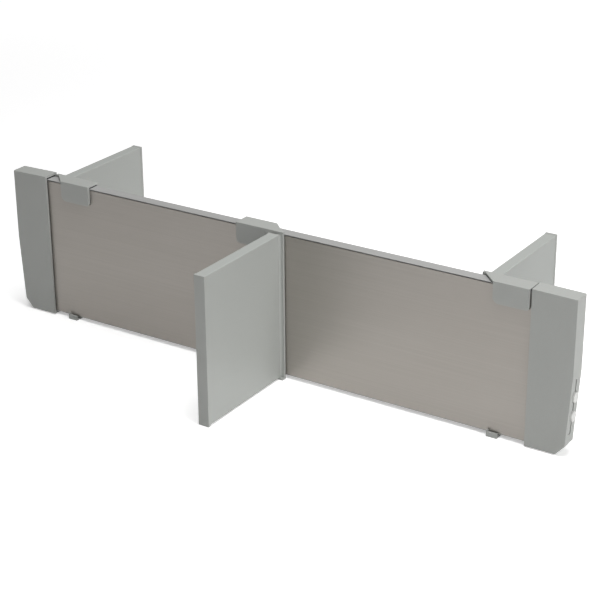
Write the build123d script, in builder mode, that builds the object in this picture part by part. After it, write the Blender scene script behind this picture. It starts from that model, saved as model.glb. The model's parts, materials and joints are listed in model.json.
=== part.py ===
from build123d import *
import os
from math import atan2, cos

# Drawer cross divider: a long wall with an end cap at each end, and three short partitions
# that hook over the wall's top rail. X runs along the wall, Y across it, Z is up.
# The origin is on the ground at the middle of the wall.

# --- overall sizes ---------------------------------------------------------------------------
divider_length = 735.0        # over both end faces, along X; the free pads stand out of them
cap_height = 177.8            # end cap, from its underside to its top
partition_length = 143.75     # from the wall's face to the free end of a partition
wall_thickness = 13.0         # over both skins
web_thickness = 13.0          # over both faces of a partition

# --- end caps --------------------------------------------------------------------------------
cap_width = 50.0              # along X
cap_wall = 2.5
cap_room = 1.25               # between the wall's faces and the inside of the cap
cap_ground_gap = 1.2          # the caps hang clear of the drawer floor
cap_top_fall = 0.95           # the top falls a little towards the outer edge
knee_height = 93.0            # above the cap's underside, where the outer edge starts to lean in
taper_run = 4.7               # how far the outer edge leans in between knee and chamfer
chamfer_run = 10.2            # chamfer of the lower outer corner, along X
chamfer_rise = 11.4           # and along Z
cap_edge_radius = 0.6
end_room = 19.4               # from the wall's end to the cap's outer edge
grip_setback = 1.0            # of the grip strip from the cap's mouth
grip_width = 8.0
grip_end_margin = 4.0

# --- wall ------------------------------------------------------------------------------------
skin_thickness = 0.6
wall_lift = 3.1               # underside of the wall above the caps' underside
rail_drop = 4.4               # top of the rail below the caps' top
lip_thickness = 0.8
groove_height = 1.0           # shadow gap between rail lip and skin
groove_depth = 2.0            # from the skin's face to the rail body
rail_step = 3.2               # height of the rail body between lip and core
rail_rib_thickness = 3.0
rail_rib_depth = 9.0
rail_edge_radius = 0.3
fit_gap = 0.1                 # between pieces that slide together on assembly

# --- clamp pads in the caps' end faces --------------------------------------------------------
pad_side_margin = 1.2         # material left beside a pad's flange
pad_offset = 0.2              # of the pads from the cap's middle plane, along Y
pad_flange_lip = 0.6
pad_flange_thickness = 1.2
pad_mid_height = 54.4         # middle of the two pads above the caps' underside
pad_pitch = 22.2
pad_rim = 1.8                 # straight part of the pad that stands out of the face
pad_dome = 1.2
pad_travel = 1.4
pad_gap = 0.1                 # running clearance round the pad
pad_stem_radius = 2.0
pad_stem_length = 4.0
spring_bore_radius = 4.0
spring_floor = 2.5            # insert material behind the spring
spring_radius = 3.1
spring_wire_radius = 0.35
spring_turns = 4
channel_width = 5.5           # slot in the end face, between and beyond the pads
channel_length = 64.0
channel_offset = -1.75        # of the slot from the cap's middle plane, along Y
channel_corner = 1.6
carrier_gap = 0.9             # round the part of the insert that shows in the slot
carrier_shift = 0.7           # of that part towards the front of the slot
carrier_sink = 0.3            # of that part behind the end face

# --- insert screws ---------------------------------------------------------------------------
screw_below_pads = 25.0       # lowest screw below the lower pad, clear of the slot
screw_below_top = 31.0        # highest screw below the caps' top
screw_radius = 1.75
screw_length = 30.0
screw_head_radius = 3.5
screw_head_height = 2.4
screw_seat = 8.0              # insert material under the head
screw_gap = 0.05

# --- partitions ------------------------------------------------------------------------------
sheet_thickness = 0.6
flange_lip = 5.0              # bracket flange beyond the web's faces
flange_thickness = 2.75
flange_fillet = 2.7
flange_edge_radius = 0.5
neck_length = 4.0
tongue_depth = 12.0
web_lift = 2.0                # underside of web and bracket above the ground
web_drop = 3.6                # top of the web below the top of the saddle clip
base_thickness = 1.6
base_tongue = 4.4
trim_depth = 3.5
trim_proud = 0.3
trim_tongue = 8.0
trim_radius = 0.5
felt_margin = 5.5             # felt strip inside the flange's edges
felt_end_margin = 10.0

# --- saddle clip -----------------------------------------------------------------------------
clip_rise = 3.2               # top of the clip above the rail
clip_plate = 1.6
clip_leg = 3.0
clip_reach = 44.3             # along the wall from the web's near face
clip_depth = 24.2             # how far the legs hang below the clip's top
clip_start = 3.0              # far leg starts this far from the web's near face
clip_gap = 0.2                # between the near leg and the bracket
clip_band = 3.35              # thickness of the clip above the bracket and the near leg
clip_corner = 7.0
clip_end_corner = 4.0
clip_edge_radius = 0.5
glide_setback = 0.6           # of the clip's lining from the clip's open end
glide_margin = 4.0            # and from its far leg's other end
glide_lift = 1.0              # of the lining above the legs' lower edges
glide_gap = 0.1               # running clearance to the wall
pin_radius = 1.0
pin_depth = 14.0
pin_margin = 2.5              # centre inside the web's faces
pin_cover = 0.8
pin_gap = 0.02

# --- foot hook -------------------------------------------------------------------------------
hook_start = 2.2              # from the web's near face
hook_width = 12.6
hook_plate = 2.0
hook_lip_height = 5.7
hook_lip = 2.0
nib_width = 2.0
nib_height = 8.0
foot_screw_radius = 1.4
foot_screw_length = 12.0
foot_screw_head_radius = 2.6
foot_screw_head_height = 1.3
foot_screw_sink = 0.2
foot_screw_margin = 2.5       # centre inside the web's faces

# --- where the partitions stand ---------------------------------------------------------------
left_cap_gap = 1.9            # left partition's flange to the left cap
middle_shift = 8.3            # middle partition from the middle of the wall
right_cap_gap = 2.2           # right partition's clip to the right cap

# --- places that follow from the sizes --------------------------------------------------------
half_length = divider_length / 2
cap_bottom = cap_ground_gap
cap_top = cap_bottom + cap_height
cap_mouth = half_length - cap_width
wall_half = wall_thickness / 2
core_half = wall_half - skin_thickness
pocket_half = wall_half + cap_room
cap_half = pocket_half + cap_wall
wall_end = half_length - end_room
wall_bottom = cap_bottom + wall_lift
rail_top = cap_top - rail_drop
chamfer_top = cap_bottom + chamfer_rise
knee = cap_bottom + knee_height
taper_slope = taper_run / (knee - chamfer_top)
pad_flange_radius = pocket_half - pad_offset - pad_side_margin - pad_gap
pad_radius = pad_flange_radius - pad_flange_lip
pad_heights = {
    "upper": cap_bottom + pad_mid_height + pad_pitch / 2,
    "lower": cap_bottom + pad_mid_height - pad_pitch / 2,
}
spring_bottom = wall_end + spring_floor
low_screw = pad_heights["lower"] - screw_below_pads
high_screw = cap_top - screw_below_top
screw_heights = (low_screw, (pad_heights["upper"] + high_screw) / 2, high_screw)

clip_half = cap_half
clip_inner = clip_half - clip_leg
clip_top = rail_top + clip_rise
web_half = web_thickness / 2
web_top = clip_top - web_drop
web_end = wall_half + partition_length
web_inner = web_half - sheet_thickness
cover_start = clip_half + neck_length
cover_end = web_end - trim_depth
flange_half = web_half + flange_lip
flange_back = clip_half - flange_thickness
tongue_half = web_inner - fit_gap
tongue_end = cover_start + tongue_depth
trim_tongue_end = cover_end - trim_tongue
base_top = web_lift + base_thickness
base_tongue_top = base_top + base_tongue
clip_end = -web_half - clip_reach
clip_far_start = -web_half - clip_start
clip_bottom = clip_top - clip_depth
hook_near = -web_half - hook_start
hook_end = hook_near - hook_width
foot_row = -(clip_half + flange_back + neck_length) / 2
foot_screw_places = (-web_half + foot_screw_margin, web_half - foot_screw_margin)
pin_row = -(clip_half - clip_band / 2)
pin_places = (-web_half + pin_margin, web_half - pin_margin)

left_place = -(cap_mouth - left_cap_gap - flange_half)
right_place = cap_mouth - right_cap_gap + clip_end
PARTITIONS = {
    "left": (left_place, True),
    "middle": (middle_shift, False),
    "right": (right_place, True),
}

os.makedirs("parts", exist_ok=True)


def save(piece, name, turned=False, shift=0.0):
    """Write one finished piece, turned half a turn about Z and moved along X if asked."""
    with BuildPart() as placed:
        with Locations(Location((shift, 0, 0), (0, 0, 180 if turned else 0))):
            add(piece.part)
    placed.part.label = name
    export_step(placed.part, f"parts/{name}.step")


def block(x_range, y_range, z_range, mode=Mode.ADD):
    """A box between two values on each axis, for the builder that is open."""
    middles = [(low + high) / 2 for low, high in (x_range, y_range, z_range)]
    sizes = [high - low for low, high in (x_range, y_range, z_range)]
    with Locations(tuple(middles)):
        Box(*sizes, mode=mode)


def rod(radius, x_range, y, z, mode=Mode.ADD):
    """A cylinder along X between two values."""
    with Locations(Location(((x_range[0] + x_range[1]) / 2, y, z), (0, 90, 0))):
        Cylinder(radius, x_range[1] - x_range[0], mode=mode)


# --- wall ------------------------------------------------------------------------------------

def wall_core():
    """Board between the skins, grooved for the rails' ribs and drilled for the insert screws."""
    low = wall_bottom + lip_thickness + rail_step
    high = rail_top - lip_thickness - rail_step
    slot_half = rail_rib_thickness / 2 + fit_gap
    slot_depth = rail_rib_depth + fit_gap
    with BuildPart() as core:
        block((-wall_end, wall_end), (-core_half, core_half), (low, high))
        for slot in ((low, low + slot_depth), (high - slot_depth, high)):
            block((-wall_end, wall_end), (-slot_half, slot_half), slot, mode=Mode.SUBTRACT)
        for height in screw_heights:
            for side in (-1, 1):
                span = sorted((side * (wall_end - screw_length), side * wall_end))
                rod(screw_radius + screw_gap, span, 0, height, mode=Mode.SUBTRACT)
    return core


def wall_skin():
    """Front skin: a flat sheet that stops short of the top rail's lip."""
    with BuildPart() as skin:
        block(
            (-wall_end, wall_end),
            (-wall_half, -core_half),
            (wall_bottom + lip_thickness + fit_gap, rail_top - lip_thickness - groove_height),
        )
    return skin


def wall_rail(edge, up):
    """Rail profile: a lip over the skins' edge, a body behind them and a rib in the core."""
    body_edge = edge - up * lip_thickness
    rib_edge = body_edge - up * rail_step
    rib_end = rib_edge - up * rail_rib_depth
    rib_half = rail_rib_thickness / 2
    body_half = wall_half - groove_depth
    with BuildPart() as rail:
        block((-wall_end, wall_end), (-wall_half, wall_half), sorted((edge, body_edge)))
        fillet(rail.edges().filter_by(Axis.X).group_by(Axis.Z)[-1 if up > 0 else 0], rail_edge_radius)
        block((-wall_end, wall_end), (-body_half, body_half), sorted((body_edge, rib_edge)))
        block((-wall_end, wall_end), (-rib_half, rib_half), sorted((rib_edge, rib_end)))
    return rail


# --- right end of the wall; the left end is the same, turned about Z ----------------------------

def cap_outline(mouth):
    """Outline of a cap in the XZ plane, from the mouth to the outer edge."""
    return [
        (mouth, cap_bottom),
        (half_length - taper_run - chamfer_run, cap_bottom),
        (half_length - taper_run, chamfer_top),
        (half_length, knee),
        (half_length, cap_top - cap_top_fall),
        (mouth, cap_top),
    ]


def face_x(height):
    """X of the leaning end face at a height between chamfer and knee."""
    return half_length - taper_slope * (knee - height)


def flange_x(height):
    """X of a pad flange's outer face, just behind the leaning inner face of the cap."""
    wall_along_x = cap_wall / cos(atan2(taper_run, knee - chamfer_top))
    return face_x(height) - wall_along_x - taper_slope * pad_flange_radius - fit_gap


def pocket_profile():
    """Inside of a cap in the XZ plane, open at the mouth."""
    with BuildSketch(Plane.XZ) as profile:
        with BuildLine():
            Polyline(*cap_outline(cap_mouth - cap_wall), close=True)
        make_face()
        offset(amount=-cap_wall, kind=Kind.INTERSECTION, mode=Mode.REPLACE)
    return profile


def end_cap():
    """Moulded cap: a shell round the wall's end, with bores and a channel for the pads."""
    pocket = pocket_profile()
    with BuildPart() as cap:
        with BuildSketch(Plane.XZ):
            with BuildLine():
                Polyline(*cap_outline(cap_mouth), close=True)
            make_face()
        extrude(amount=cap_half, both=True)
        fillet(cap.edges().filter_by(Axis.Y, reverse=True).filter_by(
            lambda edge: edge.center().X > cap_mouth + fit_gap), cap_edge_radius)
        extrude(pocket.sketch, amount=pocket_half, both=True, mode=Mode.SUBTRACT)
        for height in pad_heights.values():
            rod(pad_radius + pad_gap, (wall_end, half_length + cap_wall),
                pad_offset, height, mode=Mode.SUBTRACT)
        extrude(slot_outline(0, 0).sketch, amount=cap_width, mode=Mode.SUBTRACT)
    return cap


def slot_outline(gap, shift):
    """Outline of the slot in the end face, less a gap and moved, on a plane inside the cap."""
    with BuildSketch(Plane.YZ.offset(wall_end)) as outline:
        with Locations((channel_offset - shift, cap_bottom + pad_mid_height)):
            RectangleRounded(channel_width - 2 * gap, channel_length - 2 * gap, channel_corner - gap)
    return outline


def carrier():
    """The part of the insert that shows in the slot, cut off just behind the leaning end face."""
    with BuildPart() as bar:
        extrude(slot_outline(carrier_gap, carrier_shift).sketch, amount=cap_width)
        with BuildSketch(Plane.XZ):
            with BuildLine():
                Polyline((wall_end, 0), (face_x(0) - carrier_sink, 0),
                         (face_x(cap_top) - carrier_sink, cap_top), (wall_end, cap_top), close=True)
            make_face()
        extrude(amount=cap_half, both=True, mode=Mode.INTERSECT)
    return bar


def cap_insert():
    """Block that fills the cap behind the wall's end, bored for the pads, springs and screws."""
    pocket = pocket_profile()
    seat = wall_end + screw_seat
    with BuildPart() as insert:
        extrude(pocket.sketch, amount=pocket_half, both=True)
        block((0, wall_end), (-cap_half, cap_half), (0, cap_top), mode=Mode.SUBTRACT)
        add(carrier().part)
        for height in pad_heights.values():
            floor = flange_x(height) - pad_flange_thickness - pad_travel - fit_gap
            rod(pad_flange_radius + pad_gap, (floor, half_length), pad_offset, height,
                mode=Mode.SUBTRACT)
            rod(spring_bore_radius, (spring_bottom, floor), pad_offset, height, mode=Mode.SUBTRACT)
        for height in screw_heights:
            rod(screw_radius + screw_gap, (wall_end, seat), 0, height, mode=Mode.SUBTRACT)
            rod(screw_head_radius + fit_gap, (seat, half_length), 0, height, mode=Mode.SUBTRACT)
    return insert


def grip_strip():
    """Soft strip folded over the wall's end, so that the cap's mouth holds the wall."""
    near = cap_mouth + grip_setback
    with BuildPart() as strip:
        extrude(pocket_profile().sketch, amount=pocket_half, both=True)
        block((near, near + grip_width), (-cap_half, cap_half),
              (wall_bottom + grip_end_margin, cap_top), mode=Mode.INTERSECT)
        block((0, half_length), (-wall_half, wall_half), (0, rail_top), mode=Mode.SUBTRACT)
    return strip


def insert_screws():
    """Pan-head screws through the insert into the core's end."""
    seat = wall_end + screw_seat
    with BuildPart() as screws:
        for height in screw_heights:
            rod(screw_radius, (seat - screw_length, seat), 0, height)
            rod(screw_head_radius, (seat, seat + screw_head_height), 0, height)
        fillet(screws.edges().filter_by(GeomType.CIRCLE).group_by(Axis.X)[-1],
               screw_head_height / 3)
    return screws


def clamp_pad(height):
    """Round pad with a domed face, a flange that the cap holds back and a stem in the spring."""
    flange_face = flange_x(height)
    flange_rear = flange_face - pad_flange_thickness
    rim = face_x(height) + pad_rim
    crown = rim + pad_dome
    dome_radius = (pad_radius**2 + pad_dome**2) / (2 * pad_dome)
    stem_end = flange_rear - pad_stem_length
    with BuildPart() as pad:
        with BuildSketch(Plane(origin=(0, pad_offset, height), x_dir=(1, 0, 0), z_dir=(0, -1, 0))):
            with BuildLine():
                Polyline(
                    (crown, 0),
                    (stem_end, 0),
                    (stem_end, pad_stem_radius),
                    (flange_rear, pad_stem_radius),
                    (flange_rear, pad_flange_radius),
                    (flange_face, pad_flange_radius),
                    (flange_face, pad_radius),
                    (rim, pad_radius),
                )
                RadiusArc((rim, pad_radius), (crown, 0), dome_radius)
            make_face()
        revolve(axis=Axis((0, pad_offset, height), (1, 0, 0)))
    return pad


def pad_spring(height):
    """Coil spring between the pad's flange and the floor of its bore."""
    rear = flange_x(height) - pad_flange_thickness
    length = rear - spring_bottom - 2 * spring_wire_radius
    start = (spring_bottom + spring_wire_radius, pad_offset, height)
    with BuildPart() as spring:
        with BuildLine() as coil:
            Helix(length / spring_turns, length, spring_radius, center=start, direction=(1, 0, 0))
        with BuildSketch(Plane(origin=coil.line @ 0, z_dir=coil.line % 0)):
            Circle(spring_wire_radius)
        sweep(path=coil.line, is_frenet=True)
    return spring


# --- partition; it stands in front of the wall, with its clip reaching to the left ---------------

def bracket():
    """Upright profile: flange against the wall, neck with filleted corners, tongue in the web."""
    with BuildPart() as upright:
        with BuildSketch(Plane.XY.offset(web_lift)) as section:
            with Locations((0, -(flange_back + clip_half) / 2)):
                Rectangle(2 * flange_half, flange_thickness)
            fillet(section.vertices(), flange_edge_radius)
            with Locations((0, -(clip_half + cover_start) / 2)):
                Rectangle(web_thickness, neck_length)
            corners = section.vertices().filter_by(
                lambda corner: abs(abs(corner.X) - web_half) < fit_gap
                and abs(corner.Y + clip_half) < fit_gap)
            fillet(corners, flange_fillet)
        extrude(amount=web_top - web_lift)
        block((-tongue_half, tongue_half), (-tongue_end, -cover_start),
              (base_top + fit_gap, web_top - sheet_thickness - fit_gap))
        with Locations(*[(x, pin_row, web_top) for x in pin_places]):
            Hole(pin_radius + pin_gap, depth=pin_depth)
        with Locations(*[Location((x, foot_row, web_lift), (180, 0, 0)) for x in foot_screw_places]):
            Hole(foot_screw_radius + screw_gap, depth=foot_screw_length - hook_plate + foot_screw_sink)
    return upright


def felt_strip():
    """Felt between the bracket's flange and the wall, so that the partition slides."""
    half = flange_half - felt_margin
    with BuildPart() as felt:
        block((-half, half), (-flange_back, -(wall_half + glide_gap)),
              (web_lift + felt_end_margin, clip_bottom - fit_gap))
    return felt


def web_cover():
    """Sheet folded over the core: two faces and a closed top."""
    with BuildPart() as cover:
        block((-web_half, web_half), (-cover_end, -cover_start), (base_top, web_top))
        fillet(cover.edges().filter_by(Axis.Y).group_by(Axis.Z)[-1], sheet_thickness)
        block((-web_inner, web_inner), (-cover_end, -cover_start),
              (base_top, web_top - sheet_thickness), mode=Mode.SUBTRACT)
    return cover


def web_core():
    """Board that stiffens the cover."""
    with BuildPart() as core:
        block((-web_inner, web_inner),
              (-(trim_tongue_end - fit_gap), -(tongue_end + fit_gap)),
              (base_tongue_top + fit_gap, web_top - sheet_thickness))
    return core


def base_strip():
    """Strip that closes the cover's underside."""
    with BuildPart() as strip:
        block((-web_half, web_half), (-cover_end, -cover_start), (web_lift, base_top))
        block((-tongue_half, tongue_half),
              (-(trim_tongue_end - fit_gap), -(tongue_end + fit_gap)), (base_top, base_tongue_top))
    return strip


def end_trim():
    """Strip on the partition's free end; it stands on the drawer floor."""
    half = web_half + trim_proud
    with BuildPart() as trim:
        block((-half, half), (-web_end, -cover_end), (0, web_top + trim_proud))
        fillet(trim.edges().filter_by(lambda edge: edge.center().Y < -cover_end - fit_gap), trim_radius)
        block((-tongue_half, tongue_half), (-cover_end, -trim_tongue_end),
              (base_top + fit_gap, web_top - sheet_thickness - fit_gap))
    return trim


def saddle_clip():
    """Clip over the rail: top plate with one corner cut off, and a leg on each side of the wall."""
    near_leg_start = -flange_half - clip_gap
    with BuildPart() as clip:
        with BuildSketch(Plane.XY.offset(clip_top)):
            with BuildLine():
                Polyline((clip_end, -clip_half), (flange_half, -clip_half),
                         (clip_far_start, clip_half), (clip_end, clip_half), close=True)
            make_face()
        extrude(amount=-clip_plate)
        fillet(clip.edges().group_by(Axis.Z)[-1], clip_edge_radius)
        block((clip_end, flange_half - clip_edge_radius),
              (-clip_half, -clip_half + clip_band), (web_top, clip_top - clip_edge_radius))
        for side, leg_start in ((-1, near_leg_start), (1, clip_far_start)):
            with BuildSketch(Plane.XZ.offset(-side * clip_half)):
                with BuildLine():
                    FilletPolyline(
                        (clip_end, clip_top - clip_edge_radius),
                        (clip_end, clip_bottom),
                        (leg_start, clip_bottom),
                        (leg_start, clip_top - clip_edge_radius),
                        radius=(clip_end_corner, clip_corner if side > 0 else clip_end_corner),
                    )
                    Line((leg_start, clip_top - clip_edge_radius), (clip_end, clip_top - clip_edge_radius))
                make_face()
            extrude(amount=side * clip_leg)
        with Locations(*[Location((x, pin_row, web_top), (180, 0, 0)) for x in pin_places]):
            Hole(pin_radius + pin_gap, depth=web_drop - pin_cover)
    return clip


def clip_pins():
    """Dowel pins that lock the clip to the bracket."""
    length = pin_depth + web_drop - pin_cover - 2 * pin_gap
    middle = web_top - pin_depth + pin_gap + length / 2
    with BuildPart() as pins:
        with Locations(*[(x, pin_row, middle) for x in pin_places]):
            Cylinder(pin_radius, length)
    return pins


def clip_lining():
    """Felt lining inside the clip, over the rail and down each side of the wall."""
    span = (clip_end + glide_setback, clip_far_start - glide_margin)
    with BuildPart() as lining:
        block(span, (-clip_inner, clip_inner), (clip_bottom + glide_lift, clip_top - clip_plate))
        block(span, (-(wall_half + glide_gap), wall_half + glide_gap),
              (0, rail_top + glide_gap), mode=Mode.SUBTRACT)
        block(span, (-clip_half, -clip_half + clip_band), (web_top, clip_top), mode=Mode.SUBTRACT)
    return lining


def foot_hook():
    """Hook under the wall: plate below the bracket, arm under the wall and a lip on the far side."""
    with BuildPart() as hook:
        block((hook_end, flange_half), (-cover_start, -flange_back), (0, hook_plate))
        block((hook_end, hook_near), (-cover_start, clip_half), (0, hook_plate))
        block((hook_end, hook_near), (clip_half - hook_lip, clip_half), (0, hook_lip_height))
        block((hook_near - nib_width, hook_near), (clip_half - hook_lip, clip_half), (0, nib_height))
        with Locations(*[Location((x, foot_row, 0), (180, 0, 0)) for x in foot_screw_places]):
            CounterSinkHole(foot_screw_radius + screw_gap, foot_screw_head_radius + foot_screw_sink,
                            depth=hook_plate)
    return hook


def foot_screws():
    """Countersunk screws from below, through the hook into the bracket."""
    head_top = foot_screw_sink + foot_screw_head_height
    with BuildPart() as screws:
        for x in foot_screw_places:
            with BuildSketch(Plane(origin=(x, foot_row, 0), x_dir=(1, 0, 0), z_dir=(0, -1, 0))):
                with BuildLine():
                    Polyline(
                        (0, foot_screw_sink),
                        (foot_screw_head_radius - foot_screw_sink, foot_screw_sink),
                        (foot_screw_radius, head_top),
                        (foot_screw_radius, foot_screw_length),
                        (0, foot_screw_length),
                        close=True,
                    )
                make_face()
            revolve(axis=Axis((x, foot_row, 0), (0, 0, 1)))
    return screws


# --- write the wall ----------------------------------------------------------------------------
save(wall_core(), "core_board")
save(wall_skin(), "front_skin")
save(wall_skin(), "rear_skin", turned=True)
save(wall_rail(rail_top, 1), "top_rail")
save(wall_rail(wall_bottom, -1), "bottom_rail")

END_PIECES = {
    "end_cap": end_cap(),
    "cap_insert": cap_insert(),
    "grip_strip": grip_strip(),
    "insert_screws": insert_screws(),
}
for level, pad_height in pad_heights.items():
    END_PIECES[f"{level}_pad"] = clamp_pad(pad_height)
    END_PIECES[f"{level}_spring"] = pad_spring(pad_height)
for piece_name, end_piece in END_PIECES.items():
    save(end_piece, f"right_{piece_name}")
    save(end_piece, f"left_{piece_name}", turned=True)

# --- write the partitions ------------------------------------------------------------------------
PARTITION_PIECES = {
    "bracket": bracket(),
    "felt_strip": felt_strip(),
    "web_cover": web_cover(),
    "web_core": web_core(),
    "base_strip": base_strip(),
    "end_trim": end_trim(),
    "saddle_clip": saddle_clip(),
    "clip_pins": clip_pins(),
    "clip_lining": clip_lining(),
    "foot_hook": foot_hook(),
    "foot_screws": foot_screws(),
}
for place_name, (place, is_turned) in PARTITIONS.items():
    for piece_name, partition_piece in PARTITION_PIECES.items():
        save(partition_piece, f"{place_name}_{piece_name}", turned=is_turned, shift=place)
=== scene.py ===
import json
import bpy
from math import cos, radians, sin
from mathutils import Matrix, Vector


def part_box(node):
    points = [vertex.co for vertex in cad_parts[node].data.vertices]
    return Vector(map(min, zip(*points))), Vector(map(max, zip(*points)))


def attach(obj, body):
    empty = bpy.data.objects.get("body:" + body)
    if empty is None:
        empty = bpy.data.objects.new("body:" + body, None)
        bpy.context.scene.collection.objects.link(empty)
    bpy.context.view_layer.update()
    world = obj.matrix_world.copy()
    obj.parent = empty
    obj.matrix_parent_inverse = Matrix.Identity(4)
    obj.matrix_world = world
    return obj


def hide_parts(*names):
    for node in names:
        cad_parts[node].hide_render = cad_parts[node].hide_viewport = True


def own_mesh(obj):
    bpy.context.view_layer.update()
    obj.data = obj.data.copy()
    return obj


# Looks of a drawer cross divider: a long brushed wall between two moulded end caps, with three
# short partitions that hook over its top rail. Metres; X along the wall, Y across it, Z up.

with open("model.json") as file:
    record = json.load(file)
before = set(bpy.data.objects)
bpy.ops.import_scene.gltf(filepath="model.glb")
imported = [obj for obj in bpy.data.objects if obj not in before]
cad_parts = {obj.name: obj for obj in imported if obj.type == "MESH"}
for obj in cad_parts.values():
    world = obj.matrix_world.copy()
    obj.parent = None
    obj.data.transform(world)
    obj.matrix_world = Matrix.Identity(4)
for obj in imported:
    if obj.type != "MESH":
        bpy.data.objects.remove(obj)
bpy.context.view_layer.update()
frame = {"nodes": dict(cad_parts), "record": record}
MM = 0.001

# --- light, camera and stage -----------------------------------------------------------------------
camera_aim = Vector((0.0292, 0.0083, 0.0931))
camera_distance = 1.8723
camera_azimuth = radians(32.926)
camera_elevation = radians(23.626)
camera_roll = radians(-0.370)
camera_lens = 100.98
sensor_width = 36.0

world_light = 0.02            # what the pale room adds to the softboxes
world_shade = 1.0             # how pale the room looks
floor_shade = 0.93
floor_roughness = 0.9
floor_gloss = 0.1
floor_size = 60.0
floor_lift_near = 0.40        # glow that brings the floor up to the room's shade, near the object
floor_lift_far = 1.0          # and far from it
lift_start = 0.7              # distances from the middle over which that glow grows
lift_end = 3.0

# name: (place, the point it faces, size, power)
SOFTBOXES = {
    "top": (Vector((0.25, -0.35, 2.2)), Vector((0.0, 0.0, 0.0)), 1.2, 34.0),
    "back": (Vector((0.0, 0.9, 2.0)), Vector((0.0, 0.0, 0.0)), 1.2, 9.2),
    "side": (Vector((1.9, -0.25, 0.95)), Vector((0.1, 0.0, 0.1)), 1.0, 17.2),
    "rear": (Vector((0.1, 2.4, 0.38)), Vector((0.0, 0.0, 0.1)), 1.0, 7.5),
}


def basis(azimuth, elevation, roll):
    """Right, up and back directions of a camera at an azimuth from -Y, an elevation and a roll."""
    back = Vector((sin(azimuth) * cos(elevation), -cos(azimuth) * cos(elevation), sin(elevation)))
    level = Vector((cos(azimuth), sin(azimuth), 0.0))
    upright = back.cross(level)
    right = cos(roll) * level + sin(roll) * upright
    up = cos(roll) * upright - sin(roll) * level
    return right, up, back


def place_camera():
    """A long lens that looks down at the divider from its right front."""
    right, up, back = basis(camera_azimuth, camera_elevation, camera_roll)
    lens = bpy.data.cameras.new("camera")
    lens.lens = camera_lens
    lens.sensor_width = sensor_width
    camera = bpy.data.objects.new("camera", lens)
    bpy.context.scene.collection.objects.link(camera)
    turn = Matrix((right, up, back)).transposed().to_4x4()
    camera.matrix_world = Matrix.Translation(camera_aim + camera_distance * back) @ turn
    bpy.context.scene.camera = camera


def softbox(name, place, aim, size, power):
    """A square area light that faces a point."""
    light = bpy.data.lights.new(name, "AREA")
    light.shape = "SQUARE"
    light.size = size
    light.energy = power
    lamp = bpy.data.objects.new(name, light)
    bpy.context.scene.collection.objects.link(lamp)
    lamp.location = place
    lamp.rotation_euler = (aim - place).to_track_quat("-Z", "Y").to_euler()


def light_the_stage():
    """A dim even room that looks pale, and the softboxes."""
    world = bpy.data.worlds.new("studio")
    world.use_nodes = True
    tree = world.node_tree
    room = tree.nodes["Background"]
    room.inputs["Strength"].default_value = world_light
    room.inputs["Color"].default_value = (1.0, 1.0, 1.0, 1.0)
    seen = tree.nodes.new("ShaderNodeBackground")
    seen.inputs["Strength"].default_value = world_shade
    seen.inputs["Color"].default_value = (1.0, 1.0, 1.0, 1.0)
    choice = tree.nodes.new("ShaderNodeMixShader")
    rays = tree.nodes.new("ShaderNodeLightPath")
    tree.links.new(rays.outputs["Is Camera Ray"], choice.inputs["Fac"])
    tree.links.new(room.outputs["Background"], choice.inputs[1])
    tree.links.new(seen.outputs["Background"], choice.inputs[2])
    tree.links.new(choice.outputs["Shader"], tree.nodes["World Output"].inputs["Surface"])
    bpy.context.scene.world = world
    for name, (place, aim, size, power) in SOFTBOXES.items():
        softbox(name, place, aim, size, power)
    bpy.context.scene.view_settings.view_transform = "Standard"


def lay_floor():
    """A wide pale floor that runs into the room without a visible edge."""
    half = floor_size / 2
    corners = [(-half, -half, 0.0), (half, -half, 0.0), (half, half, 0.0), (-half, half, 0.0)]
    mesh = bpy.data.meshes.new("floor")
    mesh.from_pydata(corners, [], [(0, 1, 2, 3)])
    floor = bpy.data.objects.new("floor", mesh)
    bpy.context.scene.collection.objects.link(floor)
    paper = bpy.data.materials.new("floor_paper")
    paper.use_nodes = True
    shader = paper.node_tree.nodes["Principled BSDF"]
    shader.inputs["Base Color"].default_value = (floor_shade, floor_shade, floor_shade, 1.0)
    shader.inputs["Roughness"].default_value = floor_roughness
    shader.inputs["Specular IOR Level"].default_value = floor_gloss
    shader.inputs["Emission Color"].default_value = (1.0, 1.0, 1.0, 1.0)
    tree = paper.node_tree
    place = tree.nodes.new("ShaderNodeTexCoord").outputs["Object"]
    distance = tree.nodes.new("ShaderNodeVectorMath")
    distance.operation = "LENGTH"
    tree.links.new(place, distance.inputs[0])
    growth = tree.nodes.new("ShaderNodeMapRange")
    growth.interpolation_type = "SMOOTHSTEP"
    growth.inputs["From Min"].default_value = lift_start
    growth.inputs["From Max"].default_value = lift_end
    growth.inputs["To Min"].default_value = floor_lift_near
    growth.inputs["To Max"].default_value = floor_lift_far
    tree.links.new(distance.outputs["Value"], growth.inputs["Value"])
    seen = tree.nodes.new("ShaderNodeLightPath")
    lift = tree.nodes.new("ShaderNodeMath")
    lift.operation = "MULTIPLY"
    tree.links.new(seen.outputs["Is Camera Ray"], lift.inputs[0])
    tree.links.new(growth.outputs["Result"], lift.inputs[1])
    tree.links.new(lift.outputs["Value"], shader.inputs["Emission Strength"])
    mesh.materials.append(paper)


# --- finishes --------------------------------------------------------------------------------------

noise_low = 0.3               # the part of a noise's range that is spread over a ramp
noise_high = 0.7
dull_gloss = 0.3
matt_gloss = 0.2
felt_gloss = 0.1
WHITE = (1.0, 1.0, 1.0)


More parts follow.
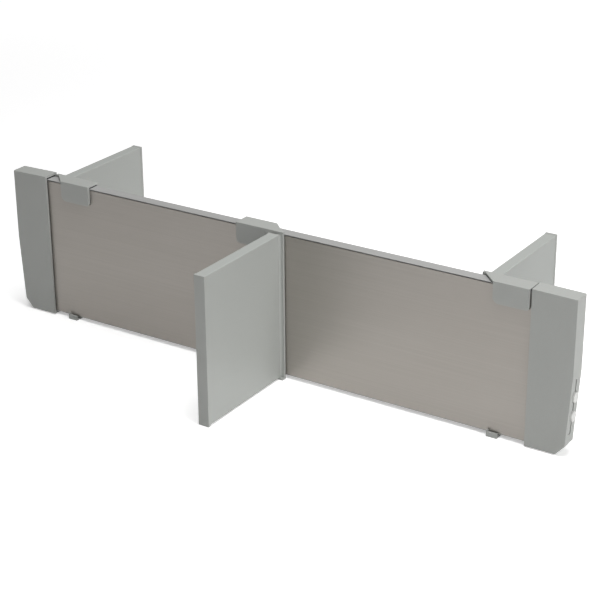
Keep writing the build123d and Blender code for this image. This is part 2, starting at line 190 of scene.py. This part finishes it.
class Finish:
    """A node material that grows from its Principled shader."""

    def __init__(self, name, roughness, metallic=0.0, gloss=0.5):
        self.material = bpy.data.materials.new(name)
        self.material.use_nodes = True
        self.tree = self.material.node_tree
        self.shader = self.tree.nodes["Principled BSDF"]
        self.shader.inputs["Roughness"].default_value = roughness
        self.shader.inputs["Metallic"].default_value = metallic
        self.shader.inputs["Specular IOR Level"].default_value = gloss
        self.place = self.tree.nodes.new("ShaderNodeTexCoord").outputs["Object"]

    def node(self, kind, **settings):
        """A new node of the material with its settings."""
        made = self.tree.nodes.new(kind)
        for key, value in settings.items():
            setattr(made, key, value)
        return made

    def link(self, out, into):
        """Join an output to an input."""
        self.tree.links.new(out, into)

    def noise(self, grain, detail=3.0, rough=0.5):
        """Noise with its grain size in metres along X, Y and Z."""
        mapping = self.node("ShaderNodeMapping")
        mapping.inputs["Scale"].default_value = [1.0 / size for size in grain]
        self.link(self.place, mapping.inputs["Vector"])
        noise = self.node("ShaderNodeTexNoise")
        noise.inputs["Scale"].default_value = 1.0
        noise.inputs["Detail"].default_value = detail
        noise.inputs["Roughness"].default_value = rough
        self.link(mapping.outputs["Vector"], noise.inputs["Vector"])
        return noise.outputs["Fac"]

    def uneven(self, fac, roughness, below, above):
        """Let the roughness run from below to above its value over the middle of a noise."""
        ramp = self.node("ShaderNodeMapRange")
        ramp.inputs["From Min"].default_value = noise_low
        ramp.inputs["From Max"].default_value = noise_high
        ramp.inputs["To Min"].default_value = roughness - below
        ramp.inputs["To Max"].default_value = roughness + above
        self.link(fac, ramp.inputs["Value"])
        self.link(ramp.outputs["Result"], self.shader.inputs["Roughness"])

    def blend(self, fac, dark, light):
        """A colour between two, over the middle of a noise."""
        ramp = self.node("ShaderNodeValToRGB")
        ramp.color_ramp.elements[0].position = noise_low
        ramp.color_ramp.elements[0].color = (*dark, 1.0)
        ramp.color_ramp.elements[1].position = noise_high
        ramp.color_ramp.elements[1].color = (*light, 1.0)
        self.link(fac, ramp.inputs["Fac"])
        return ramp.outputs["Color"]

    def mix(self, fac, first, second, mode="MIX"):
        """Two colours mixed by a fixed share."""
        mixer = self.node("ShaderNodeMix", data_type="RGBA", blend_type=mode)
        mixer.inputs["Factor"].default_value = fac
        colours = [socket for socket in mixer.inputs if socket.type == "RGBA"]
        self.link(first, colours[0])
        self.link(second, colours[1])
        return next(socket for socket in mixer.outputs if socket.type == "RGBA")

    def colour(self, out):
        """Use a colour as the base colour."""
        self.link(out, self.shader.inputs["Base Color"])

    def bumps(self, layers):
        """Stack bump layers of (height, depth in metres, strength)."""
        normal = None
        for height, depth, strength in layers:
            bump = self.node("ShaderNodeBump")
            bump.inputs["Strength"].default_value = strength
            bump.inputs["Distance"].default_value = depth
            self.link(height, bump.inputs["Height"])
            if normal:
                self.link(normal, bump.inputs["Normal"])
            normal = bump.outputs["Normal"]
        self.link(normal, self.shader.inputs["Normal"])


def shade(colour, factor):
    """A colour made darker or lighter."""
    return tuple(channel * factor for channel in colour)


def moulded(name, colour, roughness, grain=0.55 * MM, gloss=0.5):
    """Moulded plastic with a fine spark-eroded texture and faint flow clouds."""
    cloud_size = (90.0 * MM, 90.0 * MM, 140.0 * MM)
    cloud_shade = 0.975
    speckle = 0.035
    grain_depth = 0.02 * MM
    grain_strength = 0.6
    finish = Finish(name, roughness, gloss=gloss)
    texture = finish.noise((grain, grain, grain), detail=2.0)
    flow = finish.noise(cloud_size, detail=2.0)
    speckled = finish.blend(texture, shade(colour, 1.0 - speckle), shade(colour, 1.0 + speckle))
    clouds = finish.blend(flow, shade(WHITE, cloud_shade), WHITE)
    finish.colour(finish.mix(1.0, speckled, clouds, "MULTIPLY"))
    finish.uneven(texture, roughness, below=0.05, above=0.06)
    finish.bumps([(texture, grain_depth, grain_strength)])
    return finish.material


def painted(name, colour, roughness):
    """Powder-coated sheet: a shallow orange peel under a satin top."""
    peel_size = 1.6 * MM
    peel_depth = 0.03 * MM
    dust_size = 0.35 * MM
    dust_depth = 0.01 * MM
    dust_shade = 0.03
    strength = 0.5
    finish = Finish(name, roughness)
    peel = finish.noise((peel_size, peel_size, peel_size), detail=1.0)
    dust = finish.noise((dust_size, dust_size, dust_size), detail=2.0)
    finish.colour(finish.blend(dust, shade(colour, 1.0 - dust_shade), shade(colour, 1.0 + dust_shade)))
    finish.uneven(dust, roughness, below=0.04, above=0.05)
    finish.bumps([(peel, peel_depth, strength), (dust, dust_depth, strength)])
    return finish.material


def brushed(name, dark, light, roughness):
    """Stainless sheet brushed along X: long streaks, fine scratches and a faint cloudiness."""
    streak_size = (180.0 * MM, 4.0 * MM, 1.1 * MM)
    streak_depth = 0.01 * MM
    streak_strength = 0.2
    scratch_size = (26.0 * MM, 2.0 * MM, 0.28 * MM)
    scratch_depth = 0.006 * MM
    scratch_strength = 0.4
    scratch_shade = 0.965
    cloud_size = (160.0 * MM, 160.0 * MM, 70.0 * MM)
    cloud_colour = (0.975, 0.970, 0.965)
    finish = Finish(name, roughness, metallic=0.75)
    streaks = finish.noise(streak_size, detail=4.0, rough=0.65)
    scratches = finish.noise(scratch_size, detail=3.0, rough=0.7)
    clouds = finish.noise(cloud_size, detail=1.0)
    streaked = finish.blend(streaks, dark, light)
    scratched = finish.blend(scratches, shade(WHITE, scratch_shade), WHITE)
    clouded = finish.blend(clouds, cloud_colour, WHITE)
    both = finish.mix(1.0, streaked, scratched, "MULTIPLY")
    finish.colour(finish.mix(1.0, both, clouded, "MULTIPLY"))
    finish.uneven(scratches, roughness, below=0.05, above=0.08)
    finish.bumps([(streaks, streak_depth, streak_strength),
                  (scratches, scratch_depth, scratch_strength)])
    return finish.material


def anodised(name, colour, roughness):
    """Extruded aluminium: straight drawing lines along X under a satin anodic layer."""
    line_size = (400.0 * MM, 0.5 * MM, 0.5 * MM)
    line_depth = 0.01 * MM
    line_strength = 0.4
    darker, lighter = 0.95, 1.04
    finish = Finish(name, roughness, metallic=0.25)
    lines = finish.noise(line_size, detail=3.0, rough=0.6)
    finish.colour(finish.blend(lines, shade(colour, darker), shade(colour, lighter)))
    finish.uneven(lines, roughness, below=0.05, above=0.05)
    finish.bumps([(lines, line_depth, line_strength)])
    return finish.material


def plated(name, colour, roughness):
    """Zinc-plated or drawn steel with a slightly uneven sheen."""
    spot_size = 1.5 * MM
    spot_shade = 0.86
    spot_depth = 0.01 * MM
    spot_strength = 0.3
    finish = Finish(name, roughness, metallic=1.0)
    sheen = finish.noise((spot_size, spot_size, spot_size), detail=3.0)
    finish.colour(finish.blend(sheen, shade(colour, spot_shade), colour))
    finish.uneven(sheen, roughness, below=0.06, above=0.08)
    finish.bumps([(sheen, spot_depth, spot_strength)])
    return finish.material


def felted(name, dark, light):
    """Pressed felt: short matted fibres."""
    fibre_size = (0.3 * MM, 1.6 * MM, 1.6 * MM)
    fibre_depth = 0.2 * MM
    fibre_strength = 0.8
    mat_size = (0.9 * MM, 0.9 * MM, 0.25 * MM)
    mat_depth = 0.15 * MM
    mat_strength = 0.6
    mat_share = 0.5
    sheen_weight = 0.4
    finish = Finish(name, roughness=0.95, gloss=felt_gloss)
    fibres = finish.noise(fibre_size, detail=5.0, rough=0.7)
    mat = finish.noise(mat_size, detail=4.0, rough=0.7)
    matted = finish.mix(mat_share, finish.blend(fibres, dark, light), finish.blend(mat, dark, light))
    finish.colour(matted)
    finish.shader.inputs["Sheen Weight"].default_value = sheen_weight
    finish.bumps([(fibres, fibre_depth, fibre_strength), (mat, mat_depth, mat_strength)])
    return finish.material


def fibreboard(name, dark, light):
    """Raw fibreboard with coarse and fine fibres."""
    fibre_size = (2.4 * MM, 0.8 * MM, 0.6 * MM)
    fibre_depth = 0.12 * MM
    fibre_strength = 0.6
    fleck_size = (5.0 * MM, 1.5 * MM, 1.2 * MM)
    fleck_share = 0.4
    finish = Finish(name, roughness=0.85, gloss=matt_gloss)
    fibres = finish.noise(fibre_size, detail=6.0, rough=0.7)
    flecks = finish.noise(fleck_size, detail=2.0)
    flecked = finish.mix(fleck_share, finish.blend(fibres, dark, light), finish.blend(flecks, dark, light))
    finish.colour(flecked)
    finish.bumps([(fibres, fibre_depth, fibre_strength)])
    return finish.material


CAP_GREY = (0.447, 0.458, 0.438)
PAD_WHITE = (0.76, 0.76, 0.74)
# black rubber of the grip strips, partly painted shadow: where the strips reach the cap mouths their
# near-black stands in for the shadow in the gap between cap and wall
RUBBER_BLACK_AND_PAINTED_SHADOW = (0.02, 0.02, 0.021)
SHEET_GREY = (0.442, 0.458, 0.438)
STEEL_DARK = (0.446, 0.419, 0.386)
STEEL_LIGHT = (0.480, 0.452, 0.418)
RAIL_GREY = (0.49, 0.49, 0.48)
ZINC = (0.62, 0.63, 0.64)
DRAWN_WIRE = (0.42, 0.42, 0.43)
# felt of the glides, partly painted shadow: its near-black stands in for the shadow in the gaps between
# the clips and the wall
FELT_DARK_AND_PAINTED_SHADOW = (0.010, 0.010, 0.011)
FELT_LIGHT_AND_PAINTED_SHADOW = (0.030, 0.030, 0.032)
BOARD_DARK = (0.19, 0.125, 0.070)
BOARD_LIGHT = (0.33, 0.235, 0.145)

# a finish for each of the record's material slots
FINISHES = {
    "grey_plastic": moulded("grey_plastic", CAP_GREY, roughness=0.46),
    "pale_pad": moulded("pale_pad", PAD_WHITE, roughness=0.38, grain=0.9 * MM),
    # grip strips: real black rubber whose near-black also paints the shadow line at the cap mouths
    "grip_rubber": moulded("grip_rubber", RUBBER_BLACK_AND_PAINTED_SHADOW, roughness=0.75, gloss=dull_gloss),
    "grey_paint": painted("grey_paint", SHEET_GREY, roughness=0.44),
    "brushed_skin": brushed("brushed_skin", STEEL_DARK, STEEL_LIGHT, roughness=0.40),
    "rail": anodised("rail", RAIL_GREY, roughness=0.5),
    "zinc_steel": plated("zinc_steel", ZINC, roughness=0.28),
    "spring_steel": plated("spring_steel", DRAWN_WIRE, roughness=0.32),
    # felt glides: real felt whose near-black also paints the shadow lines between clips and wall
    "felt": felted("felt", FELT_DARK_AND_PAINTED_SHADOW, FELT_LIGHT_AND_PAINTED_SHADOW),
    "board": fibreboard("board", BOARD_DARK, BOARD_LIGHT),
}


def dress_cad_pieces():
    """Give every CAD node the finish that its material slot names."""
    for part in frame["record"]["subparts"]:
        mesh = frame["nodes"][part["node"]].data
        mesh.materials.clear()
        mesh.materials.append(FINISHES[part["material_slot"]])


# --- pieces grown by Geometry Nodes -----------------------------------------------------------------
foot_head_radius = 2.4 * MM
foot_shank_radius = 1.4 * MM
foot_head_height = 1.3 * MM
recess_width = 0.62 * MM
recess_reach = 2.6 * MM
recess_depth = 0.9 * MM
screw_sides = 48

spring_wire_radius = 0.35 * MM
spring_turns = 4.0
spring_steps = 40             # along one turn
wire_sides = 12


class Growth:
    """A Geometry Nodes tree with named inputs that ends in real geometry with its finish."""

    def __init__(self, name, inputs):
        self.tree = bpy.data.node_groups.new(name, "GeometryNodeTree")
        sockets = self.tree.interface
        sockets.new_socket("Geometry", in_out="OUTPUT", socket_type="NodeSocketGeometry")
        for label, kind in inputs.items():
            sockets.new_socket(label, in_out="INPUT", socket_type=f"NodeSocket{kind}")
        self.sizes = self.tree.nodes.new("NodeGroupInput").outputs

    def node(self, kind, **settings):
        """A new node of the tree with its settings."""
        made = self.tree.nodes.new(kind)
        for key, value in settings.items():
            setattr(made, key, value)
        return made

    def link(self, out, into):
        """Join an output to an input."""
        self.tree.links.new(out, into)

    def feed(self, into, **labels):
        """Link the tree's inputs to a node's inputs, both by name."""
        for socket, label in labels.items():
            self.link(self.sizes[label], into.inputs[socket.replace("_", " ")])

    def end(self, geometry):
        """Close the tree with Realize Instances and Set Material."""
        real = self.node("GeometryNodeRealizeInstances")
        self.link(geometry, real.inputs["Geometry"])
        finished = self.node("GeometryNodeSetMaterial")
        self.link(real.outputs["Geometry"], finished.inputs["Geometry"])
        self.feed(finished, Material="Finish")
        self.link(finished.outputs["Geometry"], self.node("NodeGroupOutput").inputs["Geometry"])
        return self.tree


def screw_tree():
    """A row of countersunk screws, heads down, each with a cross recess."""
    growth = Growth("screw_row", {
        "Count": "Int", "First": "Vector", "Step": "Vector", "Head Radius": "Float",
        "Shank Radius": "Float", "Head Height": "Float", "Length": "Float",
        "Recess Size": "Vector", "Recess Size Across": "Vector", "Finish": "Material",
    })
    head = growth.node("GeometryNodeMeshCone")
    head.inputs["Vertices"].default_value = screw_sides
    growth.feed(head, Radius_Top="Shank Radius", Radius_Bottom="Head Radius", Depth="Head Height")
    shank = growth.node("GeometryNodeMeshCylinder")
    shank.inputs["Vertices"].default_value = screw_sides
    growth.feed(shank, Radius="Shank Radius", Depth="Length")
    half = growth.node("ShaderNodeMath", operation="MULTIPLY")
    half.inputs[1].default_value = 0.5
    growth.link(growth.sizes["Length"], half.inputs[0])
    raised = growth.node("ShaderNodeCombineXYZ")
    growth.link(half.outputs["Value"], raised.inputs["Z"])
    lifted = growth.node("GeometryNodeTransform")
    growth.link(shank.outputs["Mesh"], lifted.inputs["Geometry"])
    growth.link(raised.outputs["Vector"], lifted.inputs["Translation"])
    whole = growth.node("GeometryNodeMeshBoolean", operation="UNION", solver="EXACT")
    growth.link(head.outputs["Mesh"], whole.inputs["Mesh 2"])
    growth.link(lifted.outputs["Geometry"], whole.inputs["Mesh 2"])
    cut = growth.node("GeometryNodeMeshBoolean", operation="DIFFERENCE", solver="EXACT")
    growth.link(whole.outputs["Mesh"], cut.inputs["Mesh 1"])
    for size in ("Recess Size", "Recess Size Across"):
        bar = growth.node("GeometryNodeMeshCube")
        growth.feed(bar, Size=size)
        growth.link(bar.outputs["Mesh"], cut.inputs["Mesh 2"])
    row = growth.node("GeometryNodeMeshLine", mode="OFFSET")
    growth.feed(row, Count="Count", Start_Location="First", Offset="Step")
    placed = growth.node("GeometryNodeInstanceOnPoints")
    growth.link(row.outputs["Mesh"], placed.inputs["Points"])
    growth.link(cut.outputs["Mesh"], placed.inputs["Instance"])
    return growth.end(placed.outputs["Instances"])


def spring_tree():
    """A coil spring along X from a point: wire swept round a helix."""
    growth = Growth("coil_spring", {
        "Start": "Vector", "Turns": "Float", "Coil Radius": "Float", "Coil Length": "Float",
        "Wire Radius": "Float", "Finish": "Material",
    })
    helix = growth.node("GeometryNodeCurveSpiral")
    helix.inputs["Resolution"].default_value = spring_steps
    growth.feed(helix, Rotations="Turns", Start_Radius="Coil Radius", End_Radius="Coil Radius",
                Height="Coil Length")
    laid = growth.node("GeometryNodeTransform")
    laid.inputs["Rotation"].default_value = (0.0, radians(90.0), 0.0)
    growth.link(helix.outputs["Curve"], laid.inputs["Geometry"])
    growth.feed(laid, Translation="Start")
    ring = growth.node("GeometryNodeCurvePrimitiveCircle")
    ring.inputs["Resolution"].default_value = wire_sides
    growth.feed(ring, Radius="Wire Radius")
    wire = growth.node("GeometryNodeCurveToMesh")
    wire.inputs["Fill Caps"].default_value = True
    growth.link(laid.outputs["Geometry"], wire.inputs["Curve"])
    growth.link(ring.outputs["Curve"], wire.inputs["Profile Curve"])
    return growth.end(wire.outputs["Mesh"])


def grow(name, tree, values):
    """Run a tree with its named inputs set and keep the result as a plain mesh."""
    piece = bpy.data.objects.new(name, bpy.data.meshes.new(name))
    bpy.context.scene.collection.objects.link(piece)
    growth = piece.modifiers.new("growth", "NODES")
    growth.node_group = tree
    for item in tree.interface.items_tree:
        if item.name in values:
            growth[item.identifier] = values[item.name]
    bpy.context.view_layer.update()
    evaluated = piece.evaluated_get(bpy.context.evaluated_depsgraph_get())
    mesh = bpy.data.meshes.new_from_object(evaluated)
    piece.modifiers.remove(growth)
    mesh.name = name
    mesh.materials.clear()
    mesh.materials.append(values["Finish"])
    mesh.polygons.foreach_set("material_index", [0] * len(mesh.polygons))
    mesh.update()
    piece.data = mesh
    return piece


def fit_foot_screws():
    """Two screws under each partition's foot hook."""
    tree = screw_tree()
    for place in ("left", "middle", "right"):
        low, high = (Vector(corner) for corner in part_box(f"{place}_foot_screws"))
        row = (low.y + high.y) / 2
        first = low.x + foot_head_radius
        spacing = high.x - low.x - 2 * foot_head_radius
        screws = grow(f"{place}_foot_screw_pair", tree, {
            "Count": 2,
            "First": (first, row, low.z),
            "Step": (spacing, 0.0, 0.0),
            "Head Radius": foot_head_radius,
            "Shank Radius": foot_shank_radius,
            "Head Height": foot_head_height,
            "Length": high.z - low.z,
            "Recess Size": (recess_reach, recess_width, 2 * recess_depth),
            "Recess Size Across": (recess_width, recess_reach, 2 * recess_depth),
            "Finish": FINISHES["zinc_steel"],
        })
        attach(screws, f"{place}_partition")
        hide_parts(f"{place}_foot_screws")


def fit_springs():
    """A spring behind each pad, the one that shortens towards the wall when its pad is pushed in, grown
    here at its resting length and hung on the wall.
    """
    tree = spring_tree()
    for end, outward in (("left", -1), ("right", 1)):
        for level in ("upper", "lower"):
            low, high = (Vector(corner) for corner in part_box(f"{end}_{level}_spring"))
            middle = (low + high) / 2
            length = high.x - low.x
            coil = grow(f"{end}_{level}_coil", tree, {
                "Start": (low.x + spring_wire_radius, middle.y, middle.z),
                "Turns": spring_turns,
                "Coil Radius": (high.z - low.z) / 2 - spring_wire_radius,
                "Coil Length": length - 2 * spring_wire_radius,
                "Wire Radius": spring_wire_radius,
                "Finish": FINISHES["spring_steel"],
            })
            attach(coil, "wall")
            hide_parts(f"{end}_{level}_spring")
            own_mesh(coil)


dress_cad_pieces()
fit_foot_screws()
fit_springs()
lay_floor()
light_the_stage()
place_camera()
